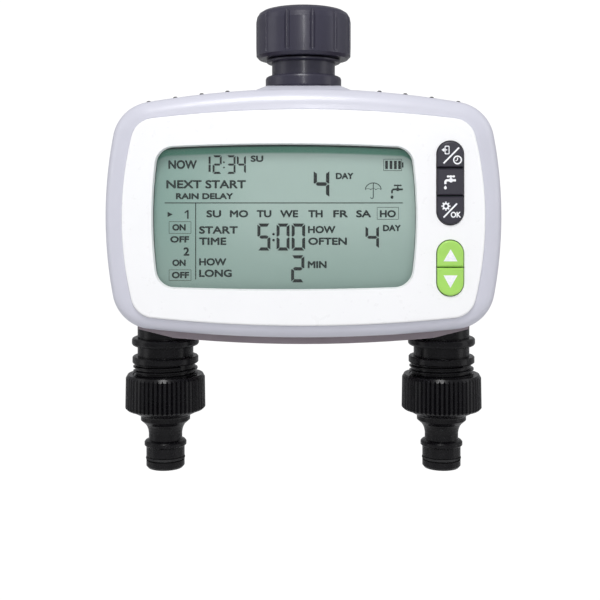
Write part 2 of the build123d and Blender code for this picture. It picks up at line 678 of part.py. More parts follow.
# ---- export ---------------------------------------------------------------
def build():
    nodes = {
        "front_shell": front_shell(), "front_fascia": front_fascia(),
        "display_window": display_window(), "rear_shell": rear_shell(),
        "case_gasket": case_gasket(), "case_screws": case_screws(),
        "lcd_glass": lcd_glass(), "lcd_holder": lcd_holder(),
        "lcd_contact_strips": lcd_contact_strips(),
        "main_circuit_board": main_circuit_board(), "board_screws": board_screws(),
        "board_components": board_components(), "key_switches": key_switches(),
        "inlet_nut": inlet_nut(), "inlet_spigot": inlet_spigot(),
        "inlet_seal": o_ring(8.83, 0.62, -30.0), "nut_retaining_clip": nut_retaining_clip(),
        "inlet_washer": inlet_washer(), "inlet_filter": inlet_filter(),
        "valve_manifold": valve_manifold(), "ball_seats": ball_seats(),
        "stem_seals": stem_seals(), "outlet_seals": outlet_seals(),
        "gear_axles": gear_axles(), "gearbox_screws": gearbox_screws(),
        "batteries": batteries(), "battery_plates": battery_plates(),
        "battery_springs": battery_springs(), "battery_door": battery_door(),
        "battery_door_seal": battery_door_seal(), "door_hinge_pin": door_hinge_pin(),
    }
    keys = ("mode_key", "manual_key", "set_key"), ("up_key", "down_key")
    for pill_index, names in enumerate(keys):
        for row, name in enumerate(names):
            nodes[name] = key_cap(pill_index, row)
    for name, make in (("valve_ball", valve_ball), ("valve_gear", valve_gear),
                       ("idler_gear", idler_gear), ("motor_pinion", motor_pinion),
                       ("gearbox_frame", gearbox_frame), ("motor", motor)):
        shape = make()
        nodes[name + "_right"] = shape
        nodes[name + "_left"] = left(shape)
    for name, make in (("outlet_spigot", outlet_spigot), ("outlet_thread", outlet_thread),
                       ("outlet_adapter", outlet_adapter),
                       ("nipple_seal", nipple_seal), ("adapter_washer", adapter_washer)):
        nodes[name + "_right"] = make(OUTLET_X)
        nodes[name + "_left"] = make(-OUTLET_X)
    return nodes


os.makedirs("parts", exist_ok=True)
for node, shape in build().items():
    export_step(shape, "parts/" + node + ".step")
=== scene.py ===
import math

import bmesh
import bpy
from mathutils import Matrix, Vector


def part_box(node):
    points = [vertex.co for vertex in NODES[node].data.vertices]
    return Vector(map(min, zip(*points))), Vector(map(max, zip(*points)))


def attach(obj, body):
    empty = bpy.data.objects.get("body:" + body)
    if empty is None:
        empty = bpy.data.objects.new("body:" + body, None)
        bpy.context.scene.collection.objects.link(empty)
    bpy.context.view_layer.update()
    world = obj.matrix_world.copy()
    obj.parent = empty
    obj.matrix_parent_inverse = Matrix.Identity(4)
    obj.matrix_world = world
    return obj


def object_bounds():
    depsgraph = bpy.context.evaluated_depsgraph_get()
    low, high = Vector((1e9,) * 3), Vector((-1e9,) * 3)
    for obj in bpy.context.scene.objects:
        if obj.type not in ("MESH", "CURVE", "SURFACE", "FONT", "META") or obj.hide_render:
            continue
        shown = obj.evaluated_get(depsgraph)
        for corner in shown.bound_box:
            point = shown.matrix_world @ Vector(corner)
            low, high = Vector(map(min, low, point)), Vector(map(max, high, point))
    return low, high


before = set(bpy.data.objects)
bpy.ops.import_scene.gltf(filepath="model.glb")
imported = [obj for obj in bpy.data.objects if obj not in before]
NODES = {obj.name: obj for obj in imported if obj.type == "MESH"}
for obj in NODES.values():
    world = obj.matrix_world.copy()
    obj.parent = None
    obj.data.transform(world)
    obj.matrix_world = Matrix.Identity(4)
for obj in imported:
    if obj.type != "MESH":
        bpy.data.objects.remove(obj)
CAD_LOW, CAD_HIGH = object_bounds()


# ---- colours and materials ---------------------------------------------------
def srgb(r, g, b):
    """Linear colour from 0-255 display values."""
    def lin(v):
        v /= 255
        return v / 12.92 if v <= 0.04045 else ((v + 0.055) / 1.055) ** 2.4
    return (lin(r), lin(g), lin(b), 1.0)


def noise(nt, coords, scale, detail=2.0, rough=0.5):
    n = nt.nodes.new("ShaderNodeTexNoise")
    n.inputs["Scale"].default_value = scale
    n.inputs["Detail"].default_value = detail
    n.inputs["Roughness"].default_value = rough
    nt.links.new(coords, n.inputs["Vector"])
    return n.outputs["Fac"]


def ramp(nt, fac, low, high, a=0.35, b=0.65):
    """Two-colour blend between two values of fac."""
    r = nt.nodes.new("ShaderNodeValToRGB")
    r.color_ramp.elements[0].position, r.color_ramp.elements[0].color = a, low
    r.color_ramp.elements[1].position, r.color_ramp.elements[1].color = b, high
    nt.links.new(fac, r.inputs["Fac"])
    return r.outputs["Color"]


def spread(nt, fac, low, high):
    """Stretches the middle of a noise to run from low to high."""
    m = nt.nodes.new("ShaderNodeMapRange")
    m.inputs["From Min"].default_value, m.inputs["From Max"].default_value = 0.3, 0.7
    m.inputs["To Min"].default_value, m.inputs["To Max"].default_value = low, high
    nt.links.new(fac, m.inputs["Value"])
    return m.outputs["Result"]


def bumped(nt, fac, strength, distance):
    b = nt.nodes.new("ShaderNodeBump")
    b.inputs["Strength"].default_value = strength
    b.inputs["Distance"].default_value = distance
    nt.links.new(fac, b.inputs["Height"])
    return b.outputs["Normal"]


def new_material(name):
    mat = bpy.data.materials.new(name)
    mat.use_nodes = True
    nt = mat.node_tree
    shader = nt.nodes["Principled BSDF"]
    coords = nt.nodes.new("ShaderNodeTexCoord").outputs["Object"]
    return mat, nt, shader, coords


def moulded(name, colour, rough=0.4, mottle=0.03, grain=2600.0, grain_depth=0.12, coat=0.0,
            specular=0.5, swirl=55.0):
    """Injection-moulded plastic: faint flow mottling, uneven gloss and a fine spark texture."""
    mat, nt, shader, coords = new_material(name)
    low = tuple(c * (1 - mottle) for c in colour[:3]) + (1.0,)
    high = tuple(min(1.0, c * (1 + mottle)) for c in colour[:3]) + (1.0,)
    broad = noise(nt, coords, swirl, 3.0)
    nt.links.new(ramp(nt, broad, low, high), shader.inputs["Base Color"])
    fine = noise(nt, coords, grain, 2.0)
    cloudy = noise(nt, coords, swirl * 5, 4.0, 0.6)
    nt.links.new(spread(nt, cloudy, rough * 0.88, rough * 1.12), shader.inputs["Roughness"])
    nt.links.new(bumped(nt, fine, grain_depth, 0.00008), shader.inputs["Normal"])
    shader.inputs["Specular IOR Level"].default_value = specular
    shader.inputs["Coat Weight"].default_value = coat
    shader.inputs["Coat Roughness"].default_value = 0.12
    return mat


def ribbed_shell(name, colour, rib_colour):
    """Rear shell plastic in a pale tone that is a painted floor reflection, with the crests of the
    grip ribs on its top in the plastic's own dark grey.
    """
    mat = moulded(name, colour, 0.50, 0.05, 1900.0, 0.35)
    nt = mat.node_tree
    shader, coords = nt.nodes["Principled BSDF"], nt.nodes["Texture Coordinate"].outputs["Object"]
    base = shader.inputs["Base Color"].links[0].from_socket
    do = Maths(nt)
    split = nt.nodes.new("ShaderNodeSeparateXYZ")
    nt.links.new(coords, split.inputs["Vector"])
    away = do("ABSOLUTE", split.outputs["X"])
    # the case top falls away from its middle as a shallow parabola, and the ribs stand above it
    sag = do("MULTIPLY", do("MULTIPLY", away, away), CASE_SAG)
    crest = do("ADD", do("SUBTRACT", split.outputs["Z"], CASE_TOP), sag)
    above = do.run(crest, 0.0004, 0.0008)
    beside = do.run(away, 0.0285, 0.0290)
    tint = do("MULTIPLY", above, beside)
    # the pale body colour is a painted floor reflection; the rib crests keep the plastic's own dark
    # grey
    nt.links.new(do.mix(tint, base, rib_colour), shader.inputs["Base Color"])
    return mat


def soft_rubber(name, colour, rough=0.75):
    mat, nt, shader, coords = new_material(name)
    high = tuple(min(1.0, c * 1.5 + 0.004) for c in colour[:3]) + (1.0,)
    nt.links.new(ramp(nt, noise(nt, coords, 160.0, 5.0), colour, high), shader.inputs["Base Color"])
    nt.links.new(spread(nt, noise(nt, coords, 900.0), rough - 0.08, rough + 0.08),
                 shader.inputs["Roughness"])
    nt.links.new(bumped(nt, noise(nt, coords, 3200.0), 0.25, 0.0001), shader.inputs["Normal"])
    shader.inputs["Specular IOR Level"].default_value = 0.35
    return mat


def metal(name, colour, rough=0.3, stretch=(40.0, 40.0, 4000.0)):
    """Drawn or turned metal with fine lines across one direction."""
    mat, nt, shader, coords = new_material(name)
    mapping = nt.nodes.new("ShaderNodeMapping")
    mapping.inputs["Scale"].default_value = stretch
    nt.links.new(coords, mapping.inputs["Vector"])
    lines = noise(nt, mapping.outputs["Vector"], 1.0, 3.0)
    low = tuple(c * 0.82 for c in colour[:3]) + (1.0,)
    nt.links.new(ramp(nt, lines, low, colour), shader.inputs["Base Color"])
    nt.links.new(spread(nt, lines, rough * 0.7, rough * 1.3), shader.inputs["Roughness"])
    nt.links.new(bumped(nt, lines, 0.12, 0.00006), shader.inputs["Normal"])
    shader.inputs["Metallic"].default_value = 1.0
    return mat


class Maths:
    """Short-hand for chains of math nodes."""

    def __init__(self, nt):
        self.nt = nt

    def __call__(self, operation, *values):
        node = self.nt.nodes.new("ShaderNodeMath")
        node.operation = operation
        for socket, value in zip(node.inputs, values):
            if isinstance(value, (int, float)):
                socket.default_value = value
            else:
                self.nt.links.new(value, socket)
        return node.outputs[0]

    def run(self, value, start, end):
        """0 below start, 1 above end, smooth between."""
        m = self.nt.nodes.new("ShaderNodeMapRange")
        m.interpolation_type = "SMOOTHSTEP"
        m.inputs["From Min"].default_value, m.inputs["From Max"].default_value = start, end
        self.nt.links.new(value, m.inputs["Value"])
        return m.outputs["Result"]

    def mix(self, fac, a, b):
        m = self.nt.nodes.new("ShaderNodeMix")
        m.data_type = "RGBA"
        self.nt.links.new(fac, m.inputs["Factor"])
        colours = [k for k in m.inputs if k.type == "RGBA"]
        for socket, value in zip(colours, (a, b)):
            if isinstance(value, tuple):
                socket.default_value = value
            else:
                self.nt.links.new(value, socket)
        return next(k for k in m.outputs if k.type == "RGBA")


def window_distances(do, split):
    """How far a point lies below the window's visible top edge, and how far inside its sides."""
    low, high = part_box("display_window")
    middle, centre = (low.x + high.x) / 2, (low.z + high.z) / 2
    half_width, half_height = (high.x - low.x) / 2 - WINDOW_LIP, (high.z - low.z) / 2 - WINDOW_LIP
    away = do("ABSOLUTE", do("SUBTRACT", split.outputs["X"], middle))
    # the top edge is a shallow arc that drops further at the corners
    arc = do("DIVIDE", do("MULTIPLY", away, away), 1.75)
    corner = do("MAXIMUM", do("SUBTRACT", away, half_width - WINDOW_CORNER), 0.0)
    drop = do("MULTIPLY", do("MULTIPLY", corner, corner), 95.0)
    top = do("SUBTRACT", do("SUBTRACT", high.z - WINDOW_LIP, arc), drop)
    # the sides bow outwards at mid height
    up = do("DIVIDE", do("SUBTRACT", split.outputs["Z"], centre), half_height)
    side = do("SUBTRACT", half_width, do("MULTIPLY", do("MULTIPLY", up, up), SIDE_BOW))
    return do("SUBTRACT", top, split.outputs["Z"]), do("SUBTRACT", side, away)


def lcd_material():
    """Grey-green reflective display with a painted reflection, lighter towards the upper right, a
    painted shadow under the window's top edge and painted shade along its sides.
    """
    mat, nt, shader, coords = new_material("lcd_reflector")
    low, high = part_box("lcd_glass")
    do = Maths(nt)
    split = nt.nodes.new("ShaderNodeSeparateXYZ")
    nt.links.new(coords, split.inputs["Vector"])
    width, height = high.x - low.x, high.z - low.z
    # painted reflection: the display is lighter towards its upper right, darker to the left and at
    # the bottom
    across = do.mix(do.run(split.outputs["X"], low.x, low.x + 0.45 * width), LCD_LEFT, LCD_MAIN)
    down = do.mix(do.run(split.outputs["Z"], low.z, low.z + 0.6 * height), LCD_LOW, across)
    speck = noise(nt, coords, 5200.0, 1.0)
    grain = do.mix(spread(nt, speck, 0.0, 0.10), down, (0.75, 0.85, 0.82, 1.0))
    below_top, inside = window_distances(do, split)
    # painted shadow of the window's top edge: a band of LCD_SHADE under it
    lit = do.run(below_top, SHADE_M - 0.0005, SHADE_M + 0.0005)
    shaded = do.mix(lit, LCD_SHADE, grain)
    # painted shade along the window's sides, darkening the display there
    side_shaded = do.mix(do.run(inside, 0.0001, 0.0007), LCD_SIDE_SHADE, shaded)
    # painted shadow line just under the window's top edge
    edge_shadowed = do.mix(do.run(below_top, 0.0007, 0.0014), LCD_EDGE_SHADOW, side_shaded)
    nt.links.new(edge_shadowed, shader.inputs["Base Color"])
    nt.links.new(spread(nt, noise(nt, coords, 700.0), 0.42, 0.5), shader.inputs["Roughness"])
    shader.inputs["Specular IOR Level"].default_value = 0.25
    return mat


def clear_material():
    mat, nt, shader, coords = new_material("clear_acrylic")
    nt.links.new(ramp(nt, noise(nt, coords, 30.0), (0.30, 0.34, 0.33, 1), (0.36, 0.40, 0.39, 1)),
                 shader.inputs["Base Color"])
    nt.links.new(spread(nt, noise(nt, coords, 90.0), 0.03, 0.06), shader.inputs["Roughness"])
    shader.inputs["Alpha"].default_value = 0.07
    shader.inputs["IOR"].default_value = 1.6
    mat.surface_render_method = "BLENDED"
    return mat


def ink(name, colour, rough=0.5, specular=0.5):
    mat, nt, shader, coords = new_material(name)
    high = tuple(min(1.0, c * 1.25 + 0.002) for c in colour[:3]) + (1.0,)
    nt.links.new(ramp(nt, noise(nt, coords, 1500.0), colour, high), shader.inputs["Base Color"])
    shader.inputs["Roughness"].default_value = rough
    shader.inputs["Specular IOR Level"].default_value = specular
    return mat


def board_material():
    mat, nt, shader, coords = new_material("solder_mask")
    brick = nt.nodes.new("ShaderNodeTexVoronoi")
    brick.inputs["Scale"].default_value = 260.0
    brick.distance = "MANHATTAN"
    nt.links.new(coords, brick.inputs["Vector"])
    traces = ramp(nt, brick.outputs["Distance"], (0.01, 0.10, 0.04, 1), (0.02, 0.17, 0.07, 1),
                  0.45, 0.5)
    nt.links.new(traces, shader.inputs["Base Color"])
    nt.links.new(spread(nt, noise(nt, coords, 300.0), 0.25, 0.4), shader.inputs["Roughness"])
    return mat


def cell_material():
    """Battery jacket: plain blue body with a pale grey end band and no lettering."""
    mat, nt, shader, coords = new_material("cell_jacket")
    low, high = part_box("batteries")
    split = nt.nodes.new("ShaderNodeSeparateXYZ")
    nt.links.new(coords, split.inputs["Vector"])
    m = nt.nodes.new("ShaderNodeMapRange")
    m.inputs["From Min"].default_value, m.inputs["From Max"].default_value = low.z, high.z
    nt.links.new(split.outputs["Z"], m.inputs["Value"])
    band = ramp(nt, m.outputs["Result"], (0.03, 0.09, 0.22, 1), (0.50, 0.51, 0.53, 1), 0.88, 0.885)
    nt.links.new(band, shader.inputs["Base Color"])
    nt.links.new(spread(nt, noise(nt, coords, 220.0), 0.24, 0.36), shader.inputs["Roughness"])
    shader.inputs["Coat Weight"].default_value = 0.5
    return mat


def mesh_material():
    """Woven strainer mesh."""
    mat, nt, shader, coords = new_material("strainer_mesh")
    wave = nt.nodes.new("ShaderNodeTexWave")
    wave.bands_direction = "Z"
    wave.inputs["Scale"].default_value = 900.0
    nt.links.new(coords, wave.inputs["Vector"])
    cross = nt.nodes.new("ShaderNodeTexWave")
    cross.bands_direction = "DIAGONAL"
    cross.inputs["Scale"].default_value = 900.0
    nt.links.new(coords, cross.inputs["Vector"])
    add = nt.nodes.new("ShaderNodeMath")
    add.operation = "MULTIPLY"
    nt.links.new(wave.outputs["Fac"], add.inputs[0])
    nt.links.new(cross.outputs["Fac"], add.inputs[1])
    nt.links.new(ramp(nt, add.outputs[0], (0.05, 0.055, 0.06, 1), (0.40, 0.42, 0.44, 1), 0.1, 0.5),
                 shader.inputs["Base Color"])
    nt.links.new(bumped(nt, add.outputs[0], 0.8, 0.0002), shader.inputs["Normal"])
    shader.inputs["Roughness"].default_value = 0.45
    return mat


CASE_TOP = -0.0224  # highest line of the case beside the inlet
CASE_SAG = 1.43  # its fall per square metre of distance from the middle
WINDOW_LIP = 0.0024  # the window's rim, hidden under the fascia
WINDOW_CORNER = 0.006
SIDE_BOW = 0.00215
# display colours: the first three carry a painted reflection, lighter towards the upper right; the
# next three are a painted shadow band under the window's top edge, a painted shadow line along that
# edge and painted shade along the sides
LCD_MAIN = srgb(174, 197, 188)
LCD_LEFT = srgb(138, 172, 161)
LCD_LOW = srgb(144, 170, 160)
LCD_SHADE = srgb(90, 150, 129)
LCD_EDGE_SHADOW = srgb(46, 62, 56)
LCD_SIDE_SHADE = srgb(92, 106, 102)
SHADE_M = 0.0035  # height of the painted shadow under the window's top edge
PRINT_GAP_MM = 0.02
LIGHT_TARGET = Vector((0, 0, -0.07))

MATERIALS = {
    "light_shell": moulded("light_shell", srgb(209, 209, 220), 0.32, 0.012, coat=0.1),
    "white_fascia": moulded("white_fascia", srgb(253, 253, 254), 0.30, 0.004, 3200.0, 0.06,
                            coat=0.2),
    # rear shell: pale body tone is a painted floor reflection, the second colour the plastic's own
    # dark grey on the rib crests
    "rear_shell": ribbed_shell("rear_shell", srgb(148, 137, 143), srgb(48, 44, 48)),
    "dark_shell": moulded("dark_shell", srgb(148, 137, 143), 0.50, 0.05, 1900.0, 0.35),
    "nut_plastic": moulded("nut_plastic", srgb(52, 50, 65), 0.34, 0.06, 2200.0, 0.10, 0.1, 0.4),
    "black_plastic": moulded("black_plastic", srgb(14, 13, 16), 0.28, 0.10, 2400.0, 0.10, 0.06,
                             0.2),
    "dark_key": moulded("dark_key", srgb(46, 44, 55), 0.42, 0.05, 2400.0, 0.25),
    "green_key": moulded("green_key", srgb(169, 222, 102), 0.38, 0.03, 2400.0, 0.18),
    "plain_plastic": moulded("plain_plastic", srgb(205, 205, 206), 0.5, 0.03),
    "acetal": moulded("acetal", srgb(232, 228, 214), 0.38, 0.02),
    "component": moulded("component", srgb(36, 36, 40), 0.42, 0.15),
    "manifold": moulded("manifold", srgb(52, 52, 56), 0.5, 0.12, 1500.0, 0.3),
    "ptfe": moulded("ptfe", srgb(240, 240, 236), 0.5, 0.02),
    "rubber": soft_rubber("rubber", (0.012, 0.012, 0.013, 1)),
    "silicone": soft_rubber("silicone", (0.22, 0.22, 0.24, 1), 0.6),
    "steel": metal("steel", (0.62, 0.62, 0.64, 1), 0.28),
    "can": metal("can", (0.66, 0.66, 0.68, 1), 0.35, (300.0, 300.0, 300.0)),
    "brass": metal("brass", (0.78, 0.58, 0.26, 1), 0.25),
    "lcd": lcd_material(),
    "clear": clear_material(),
    "board": board_material(),
    "cell": cell_material(),
    "mesh": mesh_material(),
    "lcd_ink": ink("lcd_ink", srgb(20, 32, 30), 0.7, 0.15),
    "lcd_dark_ink": ink("lcd_dark_ink", srgb(6, 12, 12), 0.7, 0.1),
    "white_ink": ink("white_ink", srgb(240, 242, 248), 0.45),
}

NODE_MATERIAL = {
    "front_shell": "light_shell", "front_fascia": "white_fascia", "display_window": "clear",
    "rear_shell": "rear_shell", "battery_door": "dark_shell", "case_gasket": "rubber",
    "case_screws": "steel", "lcd_glass": "lcd", "lcd_holder": "plain_plastic",
    "lcd_contact_strips": "silicone", "main_circuit_board": "board", "board_screws": "steel",
    "board_components": "component", "key_switches": "component", "inlet_nut": "nut_plastic",
    "inlet_spigot": "nut_plastic", "inlet_seal": "rubber", "nut_retaining_clip": "acetal",
    "inlet_washer": "rubber", "inlet_filter": "mesh", "valve_manifold": "manifold",
    "ball_seats": "ptfe", "stem_seals": "rubber", "outlet_seals": "rubber", "gear_axles": "steel",
    "gearbox_screws": "steel", "batteries": "cell", "battery_plates": "steel",
    "battery_springs": "steel", "battery_door_seal": "rubber", "door_hinge_pin": "steel",
    "mode_key": "dark_key", "manual_key": "dark_key", "set_key": "dark_key",
    "up_key": "green_key", "down_key": "green_key", "valve_ball": "brass", "valve_gear": "acetal",
    "idler_gear": "acetal", "motor_pinion": "brass", "gearbox_frame": "acetal", "motor": "can",
    "outlet_spigot": "black_plastic", "outlet_thread": "black_plastic",
    "outlet_adapter": "black_plastic", "nipple_seal": "rubber", "adapter_washer": "rubber",
}

for name, obj in NODES.items():
    key = name if name in NODE_MATERIAL else name.rsplit("_", 1)[0]
    mat = MATERIALS[NODE_MATERIAL[key]]
    if not obj.material_slots:
        obj.data.materials.append(mat)
    for slot in obj.material_slots:
        slot.material = mat


# ---- printed legends ------------------------------------------------------------
class Print:
    """Collects flat printed shapes that lie just in front of one face, in millimetres."""

    def __init__(self, name, y_mm, material, body, slot):
        self.name, self.y, self.body, self.slot = name, y_mm / 1000, body, slot
        self.material, self.bm, self.layer = material, bmesh.new(), 0

    def depth(self):
        """Each stroke lies 3 microns above the one before in turn, so none share a plane."""
        self.layer = (self.layer + 1) % 9
        return self.y - self.layer * 3e-6

    def face(self, points):
        y = self.depth()
        verts = [self.bm.verts.new((x / 1000, y, z / 1000)) for x, z in points]
        self.bm.faces.new(verts)

    def bar(self, x0, z0, x1, z1, width):
        """Straight stroke with square ends."""
        dx, dz = x1 - x0, z1 - z0
        k = width / 2 / math.hypot(dx, dz)
        nx, nz = -dz * k, dx * k
        self.face([(x0 + nx, z0 + nz), (x0 - nx, z0 - nz), (x1 - nx, z1 - nz), (x1 + nx, z1 + nz)])

    def frame(self, x0, z0, x1, z1, width):
        for a, b, c, d in ((x0, z0, x1, z0), (x0, z1, x1, z1), (x0, z0, x0, z1), (x1, z0, x1, z1)):
            self.bar(a, b, c, d, width)

    def arc(self, cx, cz, r, width, start=0.0, end=360.0, steps=32, squash=1.0):
        for i in range(steps):
            a = math.radians(start + (end - start) * i / steps)
            b = math.radians(start + (end - start) * (i + 1) / steps)
            inner, outer = r - width / 2, r + width / 2
            self.face([(cx + inner * math.cos(a), cz + squash * inner * math.sin(a)),
                       (cx + outer * math.cos(a), cz + squash * outer * math.sin(a)),
                       (cx + outer * math.cos(b), cz + squash * outer * math.sin(b)),
                       (cx + inner * math.cos(b), cz + squash * inner * math.sin(b))])

    def dot(self, cx, cz, rx, rz=None, steps=20):
        rz = rz or rx
        self.face([(cx + rx * math.cos(2 * math.pi * i / steps),
                    cz + rz * math.sin(2 * math.pi * i / steps)) for i in range(steps)])

    def word(self, text, x0, x1, base, cap, weight=0.0):
        """Text stretched to run from x0 to x1 on its base line; weight thickens every stroke."""
        curve = bpy.data.curves.new("word", "FONT")
        curve.body, curve.resolution_u = text, 4
        obj = bpy.data.objects.new("word", curve)
        bpy.context.scene.collection.objects.link(obj)
        bpy.context.view_layer.update()
        flat = bpy.data.meshes.new_from_object(obj)
        points = [v.co.copy() for v in flat.vertices]
        left, right = min(p.x for p in points), max(p.x for p in points)
        low, high = min(p.y for p in points), max(p.y for p in points)
        sx, sy = (x1 - x0 - 2 * weight) / (right - left), (cap - 2 * weight) / (high - low)
        shifts = [(0, 0)]
        if weight:
            shifts += [(weight * math.cos(math.pi * i / 3), weight * math.sin(math.pi * i / 3))
                       for i in range(6)]
        for dx, dz in shifts:
            y = self.depth()
            for v, p in zip(flat.vertices, points):
                x = x0 + weight + dx + (p.x - left) * sx
                z = base + weight + dz + (p.y - low) * sy
                v.co = (x / 1000, y, z / 1000)
            self.bm.from_mesh(flat)
        bpy.data.objects.remove(obj)
        bpy.data.curves.remove(curve)
        bpy.data.meshes.remove(flat)

    def digit(self, value, x, top, w, h, t):
        """Seven-segment figure with tapered segments."""
        lit = {"0": "abcdef", "2": "abged", "3": "abgcd", "4": "fgbc", "5": "afgcd"}[value]
        g, cut = 0.08 * t + 0.05, 0.85 * t
        mid, low, right = top - h / 2, top - h, x + w
        upper, lower = (top - g, mid + g), (mid - g, low + g)
        shapes = {
            "a": [(x + g + 0.2 * t, top), (right - g - 0.2 * t, top),
                  (right - g - cut, top - 0.95 * t), (x + g + cut, top - 0.95 * t)],
            "d": [(x + g + cut, low + 0.95 * t), (right - g - cut, low + 0.95 * t),
                  (right - g - 0.2 * t, low), (x + g + 0.2 * t, low)],
            "g": [(x + 0.55 * t, mid), (x + t, mid + 0.48 * t), (right - t, mid + 0.48 * t),
                  (right - 0.55 * t, mid), (right - t, mid - 0.48 * t), (x + t, mid - 0.48 * t)],
        }
        for name, edge, side in (("f", x, 1), ("b", right, -1)):
            z0, z1 = upper
            shapes[name] = [(edge, z0 - 0.2 * t), (edge + side * 0.9 * t, z0 - cut),
                            (edge + side * 0.9 * t, z1 + 0.45 * t), (edge + side * 0.35 * t, z1),
                            (edge, z1 + 0.1 * t)]
        for name, edge, side in (("e", x, 1), ("c", right, -1)):
            z0, z1 = lower
            shapes[name] = [(edge, z1 + 0.2 * t), (edge + side * 0.9 * t, z1 + cut),
                            (edge + side * 0.9 * t, z0 - 0.45 * t), (edge + side * 0.35 * t, z0),
                            (edge, z0 - 0.1 * t)]
        for segment in lit:
            self.face(shapes[segment])

    def tap(self, x, z, s, stroke):
        """Tap: handle on a stem, body bar with a knuckle, spout turned down and a drop."""
        self.bar(x - 1.25 * s, z + 1.45 * s, x + 1.25 * s, z + 1.45 * s, stroke * 1.1)
        for k in (-1.1, 0, 1.1):
            self.dot(x + k * s, z + 1.45 * s, stroke * 0.75)
        self.bar(x, z, x, z + 1.45 * s, stroke)
        self.bar(x - 1.5 * s, z, x + 1.9 * s, z, stroke * 1.5)
        self.dot(x, z, stroke * 1.45)
        self.arc(x - 1.35 * s, z - 0.75 * s, 0.75 * s, stroke * 1.5, 90, 180, 8)
        self.bar(x - 2.1 * s, z - 0.7 * s, x - 2.1 * s, z - 1.45 * s, stroke * 1.5)
        self.dot(x - 2.1 * s, z - 2.85 * s, 0.55 * s, 0.62 * s)
        self.face([(x - 2.1 * s, z - 1.95 * s), (x - 2.55 * s, z - 2.7 * s),
                   (x - 1.65 * s, z - 2.7 * s)])

    def done(self):
        bmesh.ops.recalc_face_normals(self.bm, faces=self.bm.faces)
        for f in self.bm.faces:
            if f.normal.y > 0:
                f.normal_flip()
        mesh = bpy.data.meshes.new(self.name)
        self.bm.to_mesh(mesh)
        self.bm.free()
        obj = bpy.data.objects.new(self.name, mesh)
        bpy.context.scene.collection.objects.link(obj)
        mesh.materials.append(self.material)
        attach(obj, self.body)
        return obj


def lcd_face_mm():
    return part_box("lcd_glass")[0].y * 1000 - 0.03  # under the window's own gap


def print_lcd_words():
    p = Print("lcd_words", lcd_face_mm(), MATERIALS["lcd_ink"], "case", "lcd")
    rows = [
        ("NOW", -51.9, -40.9, -53.5, 3.45), ("SU", -20.3, -15.4, -50.8, 2.55),
        ("NEXT START", -52.7, -22.1, -61.0, 3.3), ("RAIN DELAY", -49.0, -27.0, -65.1, 2.4),
        ("ON", -50.4, -45.2, -77.2, 2.6),
        ("OFF", -51.2, -43.9, -81.8, 2.6), ("2", -46.1, -43.8, -86.8, 3.3),
        ("ON", -50.4, -45.2, -90.8, 2.6), ("OFF", -50.6, -43.9, -95.5, 2.6),
        ("SU", -37.3, -31.6, -72.1, 2.85), ("MO", -28.3, -21.2, -72.1, 2.85),
        ("TU", -18.0, -12.3, -72.1, 2.85), ("WE", -9.0, -2.0, -72.1, 2.85),
        ("TH", 1.8, 7.4, -72.1, 2.85), ("FR", 11.4, 17.1, -72.1, 2.85),
        ("SA", 20.2, 26.0, -72.1, 2.85), ("HO", 29.3, 35.5, -72.1, 2.85),
        ("START", -40.1, -25.2, -78.4, 3.0), ("TIME", -40.1, -29.6, -82.7, 2.95),
        ("HOW", -40.1, -29.6, -90.6, 2.9), ("LONG", -40.1, -27.5, -95.0, 2.95),
        ("HOW", 1.7, 12.3, -78.2, 2.9), ("OFTEN", 1.8, 16.7, -82.7, 2.95),
        ("MIN", 1.6, 8.9, -91.6, 2.8), ("DAY", 12.4, 19.2, -57.4, 2.5),
        ("DAY", 30.5, 37.4, -77.4, 2.5),
    ]
    for text, x0, x1, base, cap in rows:
        p.word(text, x0, x1, base, cap, 0.18)
    p.bar(-53.3, -66.5, 38.2, -66.5, 0.36)
    p.bar(-41.4, -66.5, -41.4, -95.9, 0.36)
    p.frame(-51.6, -78.2, -43.2, -73.7, 0.16)
    p.frame(-51.6, -96.3, -43.2, -92.2, 0.16)
    p.frame(28.3, -72.8, 36.5, -68.2, 0.16)
    p.face([(-52.2, -69.9), (-52.2, -71.9), (-50.2, -70.9)])
    p.bar(-44.4, -69.25, -44.4, -72.6, 0.62)
    p.bar(-44.5, -69.45, -45.6, -70.3, 0.5)
    return p.done()


def print_lcd_figures():
    p = Print("lcd_figures", lcd_face_mm(), MATERIALS["lcd_dark_ink"], "case", "lcd")
    p.bar(-36.05, -48.7, -36.05, -51.45, 0.8)
    p.bar(-36.05, -51.75, -36.05, -54.6, 0.8)
    p.digit("2", -34.9, -48.2, 3.5, 7.15, 0.85)
    p.digit("3", -29.5, -48.2, 3.4, 7.15, 0.85)
    p.digit("4", -25.6, -48.2, 3.5, 7.15, 0.85)
    for z in (-50.9, -52.9):
        p.dot(-30.55, z, 0.36)
    p.digit("4", 3.9, -53.9, 6.05, 10.7, 1.45)
    p.digit("5", -17.7, -74.4, 5.0, 10.4, 1.3)
    p.digit("0", -10.35, -74.4, 5.0, 10.4, 1.3)
    p.digit("0", -4.55, -74.4, 5.2, 10.4, 1.3)
    p.digit("2", -4.75, -86.6, 5.1, 10.4, 1.3)
    p.digit("4", 23.8, -75.2, 5.2, 9.0, 1.2)
    for z in (-78.5, -80.8):
        p.dot(-11.5, z, 0.5)
    for x in (31.9, 33.6, 35.3, 36.9):
        p.bar(x, -50.3, x, -53.5, 1.05)
    return p.done()


def print_lcd_icons():
    p = Print("lcd_icons", lcd_face_mm(), MATERIALS["lcd_ink"], "case", "lcd")
    p.frame(30.8, -54.1, 37.7, -49.7, 0.18)
    p.bar(38.1, -50.9, 38.1, -52.9, 0.6)
    p.arc(26.8, -61.5, 3.05, 0.34, 8, 172, 28, 0.88)
    for x in (24.8, 26.8, 28.8):
        p.arc(x, -61.5, 1.0, 0.3, 0, 180, 14, 0.5)
    p.bar(26.8, -58.7, 26.8, -64.4, 0.32)
    p.arc(26.3, -64.3, 0.5, 0.3, 180, 360, 10)
    p.tap(36.2, -61.3, 1.05, 0.48)
    return p.done()


